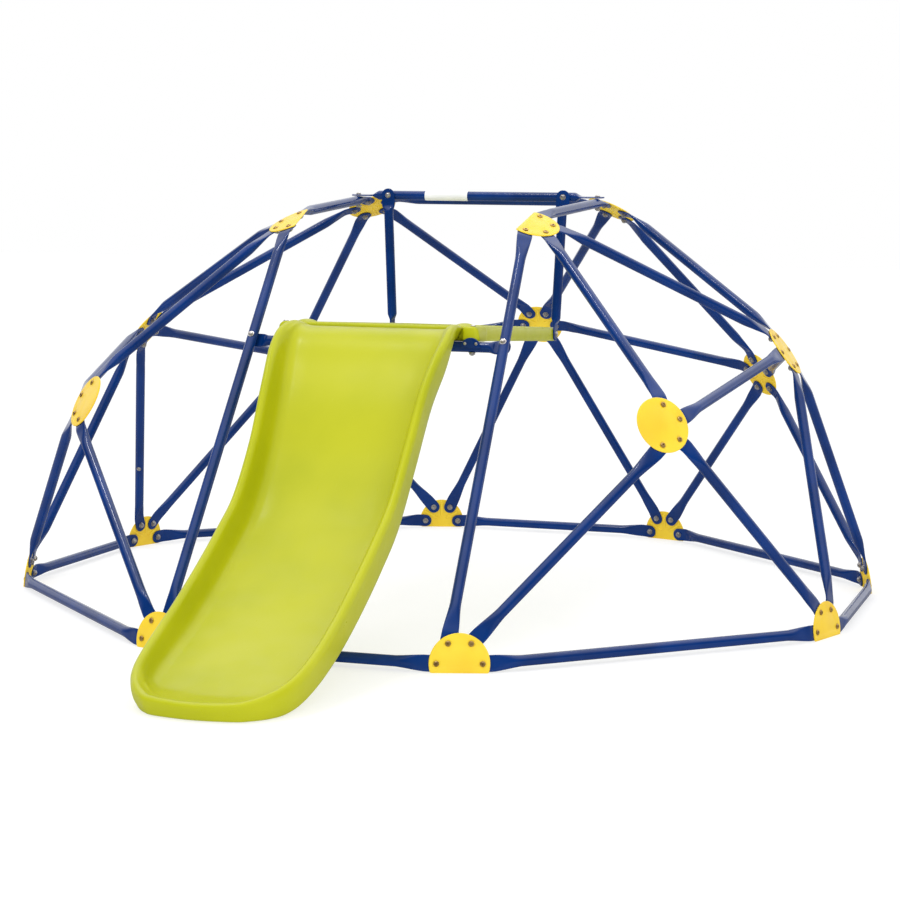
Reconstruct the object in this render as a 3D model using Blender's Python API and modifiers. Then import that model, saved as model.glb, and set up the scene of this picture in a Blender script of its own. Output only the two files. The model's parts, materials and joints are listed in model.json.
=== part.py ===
"""Climbing dome with a platform and a slide.

Bolted frame of flattened-end steel tubes and pressed hub plates, a moulded deck carried by a
cross bar in front and by two hanger posts behind, and a moulded slide resting on the cross bar.

Axes: +Z up, the slide runs out along -Y, the dome is symmetric about X = 0.
Lengths are metres. Heights are first measured from the centre of the base hub plates.
"""
import math

import bmesh
import bpy
from mathutils import Matrix, Vector

# ---------------------------------------------------------------- driving dimensions
TUBE_R = 0.0125                      # frame tube, 25 mm outside diameter
TUBE_SIDES = 10
FLAT_T = 0.004                       # two pressed tube walls
FLAT_HALF = 0.0185                   # half width of a pressed tube end
GAP = 0.0003                         # clearance between bolted faces
BEND_AT = 0.024                      # from bolt centre to the bend in the tube end
SWELL = 0.070                        # from the bend to full round tube
MID_SWELL = 0.45                     # share of the swell where the half-pressed section sits
TIP_REACH = 0.95                     # rounded end of the flat, as shares of its half width
TIP_HALF = 0.36
SHOULDER_REACH = 0.62
SHOULDER_HALF = 0.80

PLATE_R = 0.067
PLATE_T = 0.0035
PLATE_EDGE = 0.0015                  # rolled edge, radial
BOLT_CIRCLE = 0.0505
FLAT_CUT = 0.0204                    # straight side of a D plate, from the plate centre
PLATE_SIDES = 16
BASE_LEAN = math.radians(7.0)        # base plates lean back with the legs

HEAD_R = 0.0065
HEAD_H = 0.003
SHANK_R = 0.004
HOLE_R = 0.005
HOLE_SIDES = 6
BORE_OVER = 0.002                    # how far a through bore runs past the round tube
BITE = 0.0005                        # overlap where a bolt is one piece with its carrier
NUT_H = 0.0055
BOLT_SIDES = 6

BASE_R = 1.110                       # base hub circle
BASE_HALF = math.radians(18.75)      # base hubs sit this far either side of the X and Y axes
SIDE_R = 0.876                       # middle hubs on the X and Y axes
SIDE_Z = 0.632
FRONT_X = 0.716                      # middle hubs beside the slide
FRONT_Y = 0.688
FRONT_Z = 0.502
REAR_X = 0.696                       # middle hubs at the rear corners
REAR_Y = 0.687
REAR_Z = 0.520
TOP_FRONT = (0.310, -0.342, 0.945)
TOP_REAR = (0.342, 0.331, 0.977)

CROSS_Z = 0.666                      # cross bar bolts on the two uprights
CROSS_BEND = 0.020                   # shorter pressed ends on the cross bar
CROSS_SWELL = 0.020
HANGER_Y = 0.205                     # hanger bar axis
POST_X = 0.245                       # hanger posts on the hanger bar
SADDLE_X = 0.235                     # clamps on the cross bar
SADDLE_R = 0.0245
SADDLE_DROP = 0.002
SADDLE_BACK = 0.0112
SADDLE_FRONT = 0.0155
SADDLE_STEPS = 8
SLIDE_BOLT_X = 0.120
SLIDE_BOLT_SEAT = 0.004              # slide floor left between the bolt head and the cross bar

DECK_T = 0.036
DECK_HALF = 0.2275
DECK_BACK = 0.822                    # rear edge, from the cross bar
DECK_EAR_X = 0.255
DECK_EAR_IN = 0.212
DECK_EAR_FRONT = -0.012
DECK_MID_FRONT = 0.0115
DECK_EAR_BACK = 0.060
DECK_TAPER = 0.095
DECK_ROUND = 0.030
CHAMFER = 0.3                        # where the rear corner's middle point sits on its rounding
DECK_TILT = math.radians(3.1)        # deck falls slightly towards the rear
DECK_RIM = 0.022
DECK_POCKET = 0.005
POCKET_DRAFT = 0.0015                # moulding draft on the pocket's walls
DECK_BEVEL = 0.004
POCKET_CORNER = 0.015
POST_BOLT_DROP = 0.018               # post bolt below the deck top
POST_HOLE = 0.024                    # blind hole in the deck edge, and the pin in it
POST_PIN = 0.020

GROUND_Z = -(FLAT_CUT * math.cos(BASE_LEAN) + PLATE_T / 2.0 * math.sin(BASE_LEAN))

# Slide stations along the underside, from the cross bar to the toe:
# (y, z, half width, wall height, floor thickness)
SLIDE = (
    (-0.5770, 0.6700, 0.208, 0.0340, 0.026),
    (-0.6180, 0.6690, 0.211, 0.0430, 0.026),
    (-0.6480, 0.6480, 0.217, 0.0660, 0.027),
    (-0.6850, 0.6000, 0.214, 0.0880, 0.028),
    (-0.7520, 0.5180, 0.203, 0.0960, 0.028),
    (-0.8400, 0.3920, 0.196, 0.0970, 0.028),
    (-0.9500, 0.2680, 0.194, 0.0970, 0.028),
    (-1.0600, 0.1930, 0.194, 0.0970, 0.028),
    (-1.1750, 0.1270, 0.194, 0.0960, 0.028),
    (-1.3000, 0.0660, 0.194, 0.0920, 0.028),
    (-1.4200, 0.0210, 0.193, 0.0840, 0.028),
    (-1.5100, -0.0060, 0.187, 0.0760, 0.027),
    (-1.5700, -0.0180, 0.175, 0.0680, 0.026),
    (-1.6150, GROUND_Z, 0.156, 0.0580, 0.027),
    (-1.6500, GROUND_Z, 0.128, 0.0480, 0.031),
    (-1.6740, GROUND_Z, 0.092, 0.0420, 0.037),
    (-1.6880, GROUND_Z, 0.050, 0.0390, 0.036),
)
SLIDE_STEPS = 1                      # extra stations blended between neighbours, upper part
SLIDE_SMOOTH_TO = 9
SLIDE_FOOT_IN = 0.011                # wall leans in by this much towards the underside
SLIDE_FOOT_ROUND = 0.012
SLIDE_WALL_IN = 0.028                # inner face of the wall, from the widest point
SLIDE_CREASE = 0.018                 # width of the curve between wall and floor
SLIDE_FULL_RISE = 0.030              # wall rise above the floor with the full rim rounding

WORLD_UP = Vector((0.0, 0.0, 1.0))
FORWARD = Vector((0.0, -1.0, 0.0))
SIDE = Vector((1.0, 0.0, 0.0))
COLLECTION = "dome_climber"
CUTTER_COLLECTION = "dome_climber_cutters"


# ---------------------------------------------------------------- scene helpers
def clear_scene():
    for obj in list(bpy.data.objects):
        bpy.data.objects.remove(obj, do_unlink=True)


def make_collection(name):
    coll = bpy.data.collections.new(name)
    bpy.context.scene.collection.children.link(coll)
    return coll


def make_material(name, colour, metallic, roughness):
    mat = bpy.data.materials.new(name)
    mat.use_nodes = True
    bsdf = mat.node_tree.nodes["Principled BSDF"]
    bsdf.inputs["Base Color"].default_value = (*colour, 1.0)
    bsdf.inputs["Metallic"].default_value = metallic
    bsdf.inputs["Roughness"].default_value = roughness
    return mat


def add_object(name, verts, faces, frame, material=None):
    """Make a closed mesh from world points and place it with the given frame."""
    inverse = frame.inverted()
    mesh = bpy.data.meshes.new(name)
    mesh.from_pydata([inverse @ Vector(v) for v in verts], [], faces)
    bm = bmesh.new()
    bm.from_mesh(mesh)
    bmesh.ops.recalc_face_normals(bm, faces=bm.faces)
    bm.to_mesh(mesh)
    bm.free()
    obj = bpy.data.objects.new(name, mesh)
    obj.matrix_world = frame
    if material is None:
        cutter_home.objects.link(obj)
        obj.hide_render = True
        obj.display_type = "WIRE"
    else:
        mesh.materials.append(material)
        parts_home.objects.link(obj)
    return obj


def boolean(obj, cutter, operation):
    mod = obj.modifiers.new(operation.lower(), "BOOLEAN")
    mod.operation = operation
    mod.solver = "EXACT"
    mod.object = cutter


def mirrored(p):
    return Vector((-p.x, p.y, p.z))


def square_to(run, hint):
    """Unit vector closest to hint that is square to run."""
    run = run.normalized()
    return (hint - run * hint.dot(run)).normalized()


def frame_from(origin, z_axis, x_hint):
    z = z_axis.normalized()
    x = square_to(z, x_hint)
    y = z.cross(x)
    return Matrix((
        (x.x, y.x, z.x, origin.x),
        (x.y, y.y, z.y, origin.y),
        (x.z, y.z, z.z, origin.z),
        (0.0, 0.0, 0.0, 1.0),
    ))


def skin(rings):
    """Closed faces over equal rings of points, capped at both ends."""
    count = len(rings[0])
    verts = [p for ring in rings for p in ring]
    faces = []
    for i in range(len(rings) - 1):
        for j in range(count):
            k = (j + 1) % count
            faces.append((i * count + j, i * count + k, (i + 1) * count + k, (i + 1) * count + j))
    faces.append(tuple(range(count)))
    last = (len(rings) - 1) * count
    faces.append(tuple(last + j for j in range(count)))
    return verts, faces


def join_solids(solids):
    """Put several separate closed solids into one vertex and face list."""
    verts = []
    faces = []
    for v, f in solids:
        base = len(verts)
        verts.extend(v)
        faces.extend(tuple(base + i for i in face) for face in f)
    return verts, faces


def circle(centre, u, v, radius, sides):
    points = []
    for i in range(sides):
        a = 2.0 * math.pi * i / sides
        points.append(centre + u * (radius * math.cos(a)) + v * (radius * math.sin(a)))
    return points


def rod(start, end, radius, sides):
    axis = (end - start).normalized()
    hint = WORLD_UP if abs(axis.z) < 0.9 else SIDE
    u = square_to(axis, hint)
    v = axis.cross(u)
    return skin([circle(start, u, v, radius, sides), circle(end, u, v, radius, sides)])


def bolt(root, axis, grip, sink):
    """Bolt seated at root with its head sunk by sink, running against axis, nut past the grip."""
    hint = WORLD_UP if abs(axis.z) < 0.9 else SIDE
    u = square_to(axis, hint)
    v = axis.cross(u)
    steps = (
        (HEAD_H, HEAD_R),
        (-sink, HEAD_R),
        (-sink, SHANK_R),
        (-grip, SHANK_R),
        (-grip, HEAD_R + 0.001),
        (-grip - NUT_H, HEAD_R + 0.001),
    )
    return skin([circle(root + axis * h, u, v, r, BOLT_SIDES) for h, r in steps])


# ---------------------------------------------------------------- hubs
def polar(radius, angle, z):
    return Vector((radius * math.cos(angle), radius * math.sin(angle), z))


def hub_positions():
    hubs = {}
    for k in range(4):
        axis = -math.pi / 2.0 + k * math.pi / 2.0
        hubs["B%d" % (2 * k + 1)] = polar(BASE_R, axis + BASE_HALF, 0.0)
        hubs["B%d" % (2 * k + 2)] = polar(BASE_R, axis + math.pi / 2.0 - BASE_HALF, 0.0)
    hubs["M1"] = Vector((FRONT_X, -FRONT_Y, FRONT_Z))
    hubs["M2"] = Vector((SIDE_R, 0.0, SIDE_Z))
    hubs["M3"] = Vector((REAR_X, REAR_Y, REAR_Z))
    hubs["M4"] = Vector((0.0, SIDE_R, SIDE_Z))
    hubs["M5"] = Vector((-REAR_X, REAR_Y, REAR_Z))
    hubs["M6"] = Vector((-SIDE_R, 0.0, SIDE_Z))
    hubs["M7"] = Vector((-FRONT_X, -FRONT_Y, FRONT_Z))
    hubs["T1"] = Vector((-TOP_FRONT[0], TOP_FRONT[1], TOP_FRONT[2]))
    hubs["T2"] = Vector(TOP_FRONT)
    hubs["T3"] = Vector(TOP_REAR)
    hubs["T4"] = Vector((-TOP_REAR[0], TOP_REAR[1], TOP_REAR[2]))
    return hubs


BASE_RAILS = (("B1", "B2"), ("B2", "B3"), ("B3", "B4"), ("B4", "B5"),
              ("B5", "B6"), ("B6", "B7"), ("B7", "B8"), ("B8", "B1"))
TUBES = (
    ("M1", "B1"), ("M1", "B2"), ("M2", "B2"), ("M2", "B3"), ("M3", "B3"), ("M3", "B4"),
    ("M4", "B4"), ("M4", "B5"), ("M5", "B5"), ("M5", "B6"), ("M6", "B6"), ("M6", "B7"),
    ("M7", "B7"), ("M7", "B8"),
    ("M1", "M2"), ("M2", "M3"), ("M3", "M4"), ("M4", "M5"), ("M5", "M6"), ("M6", "M7"),
    ("T2", "M1"), ("T2", "M2"), ("T3", "M2"), ("T3", "M3"), ("T3", "M4"),
    ("T4", "M4"), ("T4", "M5"), ("T4", "M6"), ("T1", "M6"), ("T1", "M7"),
    ("T1", "T4"), ("T4", "T3"), ("T3", "T2"),
    ("T1", "B8"), ("T2", "B1"),
)
FIVE_WAY = ("M3", "M5", "T3", "T4")


def neighbours(name):
    found = []
    for a, b in BASE_RAILS + TUBES:
        if a == name:
            found.append(b)
        if b == name:
            found.append(a)
    return found


class Hub:
    """Plate centre, plate axes and the bolt position for every tube that meets there."""

    def __init__(self, name, hubs):
        self.name = name
        self.centre = hubs[name]
        out = Vector((self.centre.x, self.centre.y, 0.0)).normalized()
        if name[0] == "B":
            self.normal = (out * math.cos(BASE_LEAN) + WORLD_UP * math.sin(BASE_LEAN)).normalized()
        else:
            self.normal = self.centre.normalized()
        self.up = square_to(self.normal, WORLD_UP)
        self.right = self.up.cross(self.normal)
        self.set_slots(hubs)

    def set_slots(self, hubs):
        """Share the bolt holes out at an even pitch that follows the tubes best."""
        angles = {}
        for other in neighbours(self.name):
            run = hubs[other] - self.centre
            angles[other] = math.atan2(run.dot(self.up), run.dot(self.right))
        order = sorted(angles, key=lambda n: angles[n])
        count = len(order)
        gaps = []
        for i in range(count):
            step = angles[order[(i + 1) % count]] - angles[order[i]]
            gaps.append(step % (2.0 * math.pi))
        start = (gaps.index(max(gaps)) + 1) % count
        order = order[start:] + order[:start]
        pitch = math.radians(72.0 if count == 5 else 60.0)
        first = angles[order[0]]
        drift = 0.0
        for i, other in enumerate(order):
            drift += (angles[other] - first) % (2.0 * math.pi) - i * pitch
        self.turn = first + drift / count
        if self.name[0] == "B":
            self.turn = 0.0
        self.slots = {other: self.turn + i * pitch for i, other in enumerate(order)}
        self.is_d = count == 4 and self.name[0] != "M"

    def in_plane(self, angle):
        return self.right * math.cos(angle) + self.up * math.sin(angle)

    def bolt_at(self, other):
        return self.centre + self.in_plane(self.slots[other]) * BOLT_CIRCLE

    def frame(self):
        return frame_from(self.centre, self.normal, self.in_plane(self.turn))

    def outline(self, radius, offset):
        points = []
        if self.is_d:
            dip = math.asin(FLAT_CUT / radius)
            steps = PLATE_SIDES // 2 + 2
            for i in range(steps + 1):
                a = self.turn - dip + (math.pi + 2.0 * dip) * i / steps
                points.append(self.centre + self.in_plane(a) * radius + self.normal * offset)
        else:
            for i in range(PLATE_SIDES):
                a = self.turn + 2.0 * math.pi * i / PLATE_SIDES
                points.append(self.centre + self.in_plane(a) * radius + self.normal * offset)
        return points

    def plate_solid(self):
        half = PLATE_T / 2.0
        return skin([self.outline(PLATE_R, -half), self.outline(PLATE_R, 0.0),
                     self.outline(PLATE_R - PLATE_EDGE, half)])

    def bolts_solid(self):
        grip = PLATE_T + 2.0 * GAP + FLAT_T
        solids = []
        for other in self.slots:
            root = self.bolt_at(other) + self.normal * (PLATE_T / 2.0)
            solids.append(bolt(root, self.normal, grip, PLATE_T / 2.0))
        return join_solids(solids)


# ---------------------------------------------------------------- tubes with pressed ends
def flat_point(i, sides):
    """Unit outline of a pressed tube end: x across the width, y through the thickness."""
    a = 2.0 * math.pi * i / sides
    x = math.cos(a)
    side = round(math.sin(a), 9)
    if side == 0.0:
        return x, 0.0
    return x, math.copysign(1.0, side)


def tube_ring(centre, u, v, half_width, blend, shift):
    """Ring of points between fully pressed (blend 0) and fully round (blend 1)."""
    points = []
    for i in range(TUBE_SIDES):
        k = i - shift
        fx, fy = flat_point(k, TUBE_SIDES)
        a = 2.0 * math.pi * k / TUBE_SIDES
        inset = 0.0 if fy == 0.0 else FLAT_T / 2.0
        flat_x = fx * half_width - math.copysign(min(inset, abs(fx) * half_width), fx)
        x = flat_x * (1.0 - blend) + TUBE_R * math.cos(a) * blend
        y = fy * FLAT_T / 2.0 * (1.0 - blend) + TUBE_R * math.sin(a) * blend
        points.append(centre + u * x + v * y)
    return points


class TubeEnd:
    """Pressed end: bolt centre in its own mid plane, plate normal, and where the bend falls."""

    def __init__(self, centre, normal, towards, bend_at, swell):
        self.centre = centre
        self.normal = normal
        self.swell = swell
        self.run = square_to(normal, towards - centre)
        self.bend = centre + self.run * bend_at

    def rings(self, axis, sign, shift):
        """Rings from the tip to full round; axis points from end A to end B."""
        flat_run = self.run * sign
        u = (self.normal.cross(flat_run)).normalized()
        v = flat_run.cross(u)
        out = axis * sign
        ua = square_to(axis, u)
        va = axis.cross(ua)
        tip = self.centre - self.run * (FLAT_HALF * TIP_REACH)
        shoulder = self.centre - self.run * (FLAT_HALF * SHOULDER_REACH)
        middle = self.bend + out * (self.swell * MID_SWELL)
        made = [
            tube_ring(tip, u, v, FLAT_HALF * TIP_HALF, 0.0, shift),
            tube_ring(shoulder, u, v, FLAT_HALF * SHOULDER_HALF, 0.0, shift),
            tube_ring(self.bend, u, v, FLAT_HALF, 0.0, shift),
            tube_ring(middle, ua, va, FLAT_HALF, MID_SWELL, shift),
            tube_ring(self.bend + out * self.swell, ua, va, TUBE_R, 1.0, shift),
        ]
        return made, ua, va


def tube_solid(end_a, end_b):
    axis = (end_b.bend - end_a.bend).normalized()
    rings_a, ua, va = end_a.rings(axis, 1.0, 0)
    rings_b, ub, vb = end_b.rings(axis, -1.0, 0)
    twist = math.atan2(ub.dot(va), ub.dot(ua))
    shift = round(-twist / (2.0 * math.pi / TUBE_SIDES))
    rings_b, ub, vb = end_b.rings(axis, -1.0, -shift)
    return skin(rings_a + rings_b[::-1])


def hub_tube(hub_a, hub_b):
    drop = PLATE_T / 2.0 + GAP + FLAT_T / 2.0
    point_a = hub_a.bolt_at(hub_b.name) - hub_a.normal * drop
    point_b = hub_b.bolt_at(hub_a.name) - hub_b.normal * drop
    end_a = TubeEnd(point_a, hub_a.normal, point_b, BEND_AT, SWELL)
    end_b = TubeEnd(point_b, hub_b.normal, point_a, BEND_AT, SWELL)
    return end_a, end_b


def tube_object(name, end_a, end_b, material):
    verts, faces = tube_solid(end_a, end_b)
    frame = frame_from(end_a.centre, end_b.centre - end_a.centre, end_a.normal)
    return add_object(name, verts, faces, frame, material)


def bore(centre, axis, reach):
    return rod(centre - axis * reach, centre + axis * reach, HOLE_R, HOLE_SIDES)


# ---------------------------------------------------------------- slide
def blend_station(p0, p1, p2, p3, t):
    """Catmull-Rom blend of slide stations."""
    out = []
    for a, b, c, d in zip(p0, p1, p2, p3):
        out.append(0.5 * (2.0 * b + (c - a) * t + (2.0 * a - 5.0 * b + 4.0 * c - d) * t * t
                          + (3.0 * b - a - 3.0 * c + d) * t ** 3))
    return tuple(out)


def slide_stations():
    stations = []
    last = len(SLIDE) - 1
    for i in range(last):
        stations.append(SLIDE[i])
        if 0 < i < SLIDE_SMOOTH_TO:
            for k in range(1, SLIDE_STEPS + 1):
                t = k / (SLIDE_STEPS + 1.0)
                stations.append(blend_station(SLIDE[i - 1], SLIDE[i], SLIDE[i + 1],
                                              SLIDE[min(i + 2, last)], t))
    stations.append(SLIDE[last])
    return stations


def slide_section(half, wall, floor):
    """Right half of the channel section as (across, up) points, bottom to floor."""
    rise = max(wall - floor, 0.0)
    soft = min(1.0, rise / SLIDE_FULL_RISE)
    foot = half - SLIDE_FOOT_IN
    inner = half - SLIDE_WALL_IN
    return (
        (foot - SLIDE_FOOT_ROUND, 0.0),
        (foot, min(0.010, wall * 0.4)),
        (half, wall - 0.008 - 0.004 * soft),
        (half - 0.004, wall - 0.002),
        (half - 0.011, wall),
        (half - 0.020, wall - 0.006 * soft),
        (inner, floor + 0.012 * soft),
        (inner - SLIDE_CREASE, floor),
    )


def slide_rings():
    stations = slide_stations()
    rings = []
    for i, (y, z, half, wall, floor) in enumerate(stations):
        before = stations[max(i - 1, 0)]
        after = stations[min(i + 1, len(stations) - 1)]
        run = Vector((0.0, after[0] - before[0], after[1] - before[1])).normalized()
        up = run.cross(SIDE)
        base = Vector((0.0, y, z))
        right = [base + SIDE * x + up * h for x, h in slide_section(half, wall, floor)]
        left = [mirrored(p) for p in right]
        rings.append(right + left[::-1])
    return rings


# ---------------------------------------------------------------- deck
def deck_outline():
    right = [
        (DECK_EAR_IN, DECK_MID_FRONT),
        (DECK_EAR_IN, DECK_EAR_FRONT),
        (DECK_EAR_X, DECK_EAR_FRONT),
        (DECK_EAR_X, DECK_EAR_BACK),
        (DECK_HALF, DECK_TAPER),
        (DECK_HALF, DECK_BACK - DECK_ROUND),
        (DECK_HALF - DECK_ROUND * CHAMFER, DECK_BACK - DECK_ROUND * CHAMFER),
        (DECK_HALF - DECK_ROUND, DECK_BACK),
    ]
    return right + [(-x, y) for x, y in right[::-1]]


def prism(outline, low, high, frame):
    """Closed solid over an outline, between two heights of the given frame."""
    rings = []
    for z in (low, high):
        rings.append([frame @ Vector((x, y, z)) for x, y in outline])
    return skin(rings)


# ---------------------------------------------------------------- build
clear_scene()
parts_home = make_collection(COLLECTION)
cutter_home = make_collection(CUTTER_COLLECTION)
blue = make_material("tube_blue", (0.010, 0.035, 0.200), 0.0, 0.30)
yellow = make_material("plate_yellow", (0.900, 0.600, 0.040), 0.0, 0.35)
lime = make_material("slide_lime", (0.560, 0.660, 0.030), 0.0, 0.35)

positions = hub_positions()
hubs = {name: Hub(name, positions) for name in positions}
ends = {pair: hub_tube(hubs[pair[0]], hubs[pair[1]]) for pair in BASE_RAILS + TUBES}

# points where the bars cross the frame tubes
top_a, top_b = ends[("T3", "T2")]
share = (HANGER_Y - top_a.bend.y) / (top_b.bend.y - top_a.bend.y)
hanger_hole = top_a.bend.lerp(top_b.bend, share)
hanger_up = square_to(top_b.bend - top_a.bend, WORLD_UP)
leg_a, leg_b = ends[("T2", "B1")]
share = (CROSS_Z - leg_a.bend.z) / (leg_b.bend.z - leg_a.bend.z)
cross_hole = leg_a.bend.lerp(leg_b.bend, share)
cross_out = square_to(leg_b.bend - leg_a.bend, FORWARD)

# frame bores: one per bolted tube end, plus the four where bars bolt to the frame
bores = []
for (a, b), (end_a, end_b) in ends.items():
    if (a, b) not in BASE_RAILS:
        bores.append(bore(end_a.centre, end_a.normal, FLAT_T))
    bores.append(bore(end_b.centre, end_b.normal, FLAT_T))
through = TUBE_R + BORE_OVER
bores.append(bore(hanger_hole, hanger_up, through))
bores.append(bore(mirrored(hanger_hole), mirrored(hanger_up), through))
bores.append(bore(cross_hole, cross_out, through))
bores.append(bore(mirrored(cross_hole), mirrored(cross_out), through))
frame_bores = add_object("cut_frame_bores", *join_solids(bores), Matrix.Identity(4))

# hub plates; a base plate is carried by the rail that starts at it
for name, hub in hubs.items():
    bolts = add_object("cut_bolts_" + name, *hub.bolts_solid(), hub.frame())
    if name[0] == "B":
        pair = next(p for p in BASE_RAILS if p[0] == name)
        rail = tube_object("base_rail_%s_%s" % pair, *ends[pair], blue)
        boolean(rail, frame_bores, "DIFFERENCE")
        plate = add_object("cut_plate_" + name, *hub.plate_solid(), hub.frame())
        boolean(rail, plate, "UNION")
        boolean(rail, bolts, "UNION")
    else:
        plate = add_object("plate_" + name, *hub.plate_solid(), hub.frame(), yellow)
        boolean(plate, bolts, "UNION")

for pair in TUBES:
    tube = tube_object("tube_%s_%s" % pair, *ends[pair], blue)
    boolean(tube, frame_bores, "DIFFERENCE")

# cross bar behind the two uprights, with its saddle plates
clear = TUBE_R + GAP + FLAT_T / 2.0
cross_right = cross_hole - cross_out * clear
cross_left = mirrored(cross_right)
cross_end_l = TubeEnd(cross_left, mirrored(cross_out), cross_right, CROSS_BEND, CROSS_SWELL)
cross_end_r = TubeEnd(cross_right, cross_out, cross_left, CROSS_BEND, CROSS_SWELL)
cross_axis = cross_end_l.bend.lerp(cross_end_r.bend, 0.5)
cross = tube_object("cross_bar", cross_end_l, cross_end_r, blue)
deck_frame = Matrix.Translation(cross_axis) @ Matrix.Rotation(-DECK_TILT, 4, "X")
deck_up = (deck_frame.to_3x3() @ WORLD_UP).normalized()
deck_top = TUBE_R + GAP + DECK_T

bar_bores = []
for sign in (-1.0, 1.0):
    bar_bores.append(bore(cross_axis + SIDE * sign * SADDLE_X, deck_up, through))
    bar_bores.append(bore(cross_axis + SIDE * sign * SLIDE_BOLT_X, WORLD_UP, through))

# hanger bar lying on the two top side bars
hanger_right = hanger_hole + hanger_up * clear
hanger_left = mirrored(hanger_right)
hanger_end_l = TubeEnd(hanger_left, mirrored(hanger_up), hanger_right, BEND_AT, CROSS_SWELL)
hanger_end_r = TubeEnd(hanger_right, hanger_up, hanger_left, BEND_AT, CROSS_SWELL)
hanger_axis = hanger_end_l.bend.lerp(hanger_end_r.bend, 0.5)
for sign in (-1.0, 1.0):
    bar_bores.append(bore(hanger_axis + SIDE * sign * POST_X, FORWARD, through))

# hanger posts: upper end on the front of the hanger bar, lower end on the side of the deck
posts = []
for sign, label in ((-1.0, "left"), (1.0, "right")):
    top = hanger_axis + SIDE * sign * POST_X + FORWARD * clear
    along = top.y - cross_axis.y
    foot = deck_frame @ Vector((0.0, along, deck_top - POST_BOLT_DROP))
    foot = Vector((sign * (DECK_HALF + GAP + FLAT_T / 2.0), foot.y, foot.z))
    posts.append((label, sign, top, foot))
    bar_bores.append(rod(foot, foot - SIDE * sign * POST_HOLE, HOLE_R, HOLE_SIDES))
bar_cutter = add_object("cut_bar_bores", *join_solids(bar_bores), Matrix.Identity(4))

cross_bolts = []
for point, out in ((cross_hole, cross_out), (mirrored(cross_hole), mirrored(cross_out))):
    grip = 2.0 * TUBE_R + 2.0 * GAP + FLAT_T - BITE
    cross_bolts.append(bolt(point + out * (TUBE_R + GAP), out, grip, 0.0))
boolean(cross, bar_cutter, "DIFFERENCE")
boolean(cross, add_object("cut_cross_bolts", *join_solids(cross_bolts), Matrix.Identity(4)), "UNION")
saddles = []
for sign in (-1.0, 1.0):
    centre = cross_axis + SIDE * sign * SADDLE_X - WORLD_UP * SADDLE_DROP
    ring_front = []
    ring_back = []
    for i in range(SADDLE_STEPS + 1):
        a = math.pi * i / SADDLE_STEPS
        reach = SIDE * (SADDLE_R * math.cos(a)) + WORLD_UP * (SADDLE_R * math.sin(a))
        ring_front.append(centre + reach + FORWARD * SADDLE_FRONT)
        ring_back.append(centre + reach + FORWARD * SADDLE_BACK)
    saddles.append(skin([ring_front, ring_back]))
boolean(cross, add_object("cut_saddles", *join_solids(saddles), Matrix.Identity(4)), "UNION")

hanger = tube_object("hanger_bar", hanger_end_l, hanger_end_r, blue)
hanger_bolts = []
for point, out in ((hanger_right, hanger_up), (hanger_left, mirrored(hanger_up))):
    grip = FLAT_T + 2.0 * GAP + 2.0 * TUBE_R
    hanger_bolts.append(bolt(point + out * (FLAT_T / 2.0), out, grip, BITE))
boolean(hanger, bar_cutter, "DIFFERENCE")
boolean(hanger, add_object("cut_hanger_bolts", *join_solids(hanger_bolts), Matrix.Identity(4)), "UNION")

for label, sign, top, foot in posts:
    post = tube_object("post_" + label,
                       TubeEnd(top, FORWARD, foot, BEND_AT, CROSS_SWELL),
                       TubeEnd(foot, SIDE * sign, top, BEND_AT, CROSS_SWELL), blue)
    top_root = top + FORWARD * (FLAT_T / 2.0)
    pins = [bolt(top_root, FORWARD, FLAT_T + 2.0 * GAP + 2.0 * TUBE_R, BITE)]
    outward = SIDE * sign
    pins.append(rod(foot + outward * (FLAT_T / 2.0 + HEAD_H), foot, HEAD_R, BOLT_SIDES))
    pins.append(rod(foot + outward * BITE, foot - outward * POST_PIN, SHANK_R, BOLT_SIDES))
    for k, pin in enumerate(pins):
        tool = add_object("cut_pin_%s_%d" % (label, k), *pin, Matrix.Identity(4))
        boolean(post, tool, "UNION")

# deck
low = TUBE_R + GAP
deck = add_object("deck", *prism(deck_outline(), low, deck_top, deck_frame), deck_frame, lime)
bevel = deck.modifiers.new("edge", "BEVEL")
bevel.width = DECK_BEVEL
bevel.segments = 2
bevel.limit_method = "ANGLE"
bevel.angle_limit = math.radians(50.0)
inset = DECK_HALF - DECK_RIM
pocket_front = DECK_MID_FRONT + DECK_RIM
pocket_back = DECK_BACK - DECK_RIM
pocket_rings = []
for grow, height in ((0.0, -DECK_POCKET), (2.0 * POCKET_DRAFT, DECK_POCKET)):
    pocket_right = [
        (inset + grow, pocket_front - grow),
        (inset + grow, pocket_back - POCKET_CORNER + grow),
        (inset - POCKET_CORNER + grow, pocket_back + grow),
    ]
    pocket = pocket_right + [(-x, y) for x, y in pocket_right[::-1]]
    pocket_rings.append([deck_frame @ Vector((x, y, deck_top + height)) for x, y in pocket])
boolean(deck, add_object("cut_pocket", *skin(pocket_rings), deck_frame), "DIFFERENCE")
boolean(deck, bar_cutter, "DIFFERENCE")
deck_bolts = []
for sign in (-1.0, 1.0):
    root = deck_frame @ Vector((sign * SADDLE_X, 0.0, deck_top))
    deck_bolts.append(bolt(root, deck_up, DECK_T + 2.0 * GAP + 2.0 * TUBE_R, BITE))
deck_bolt_tool = add_object("cut_deck_bolts", *join_solids(deck_bolts), Matrix.Identity(4))
boolean(deck, deck_bolt_tool, "UNION")

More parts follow.
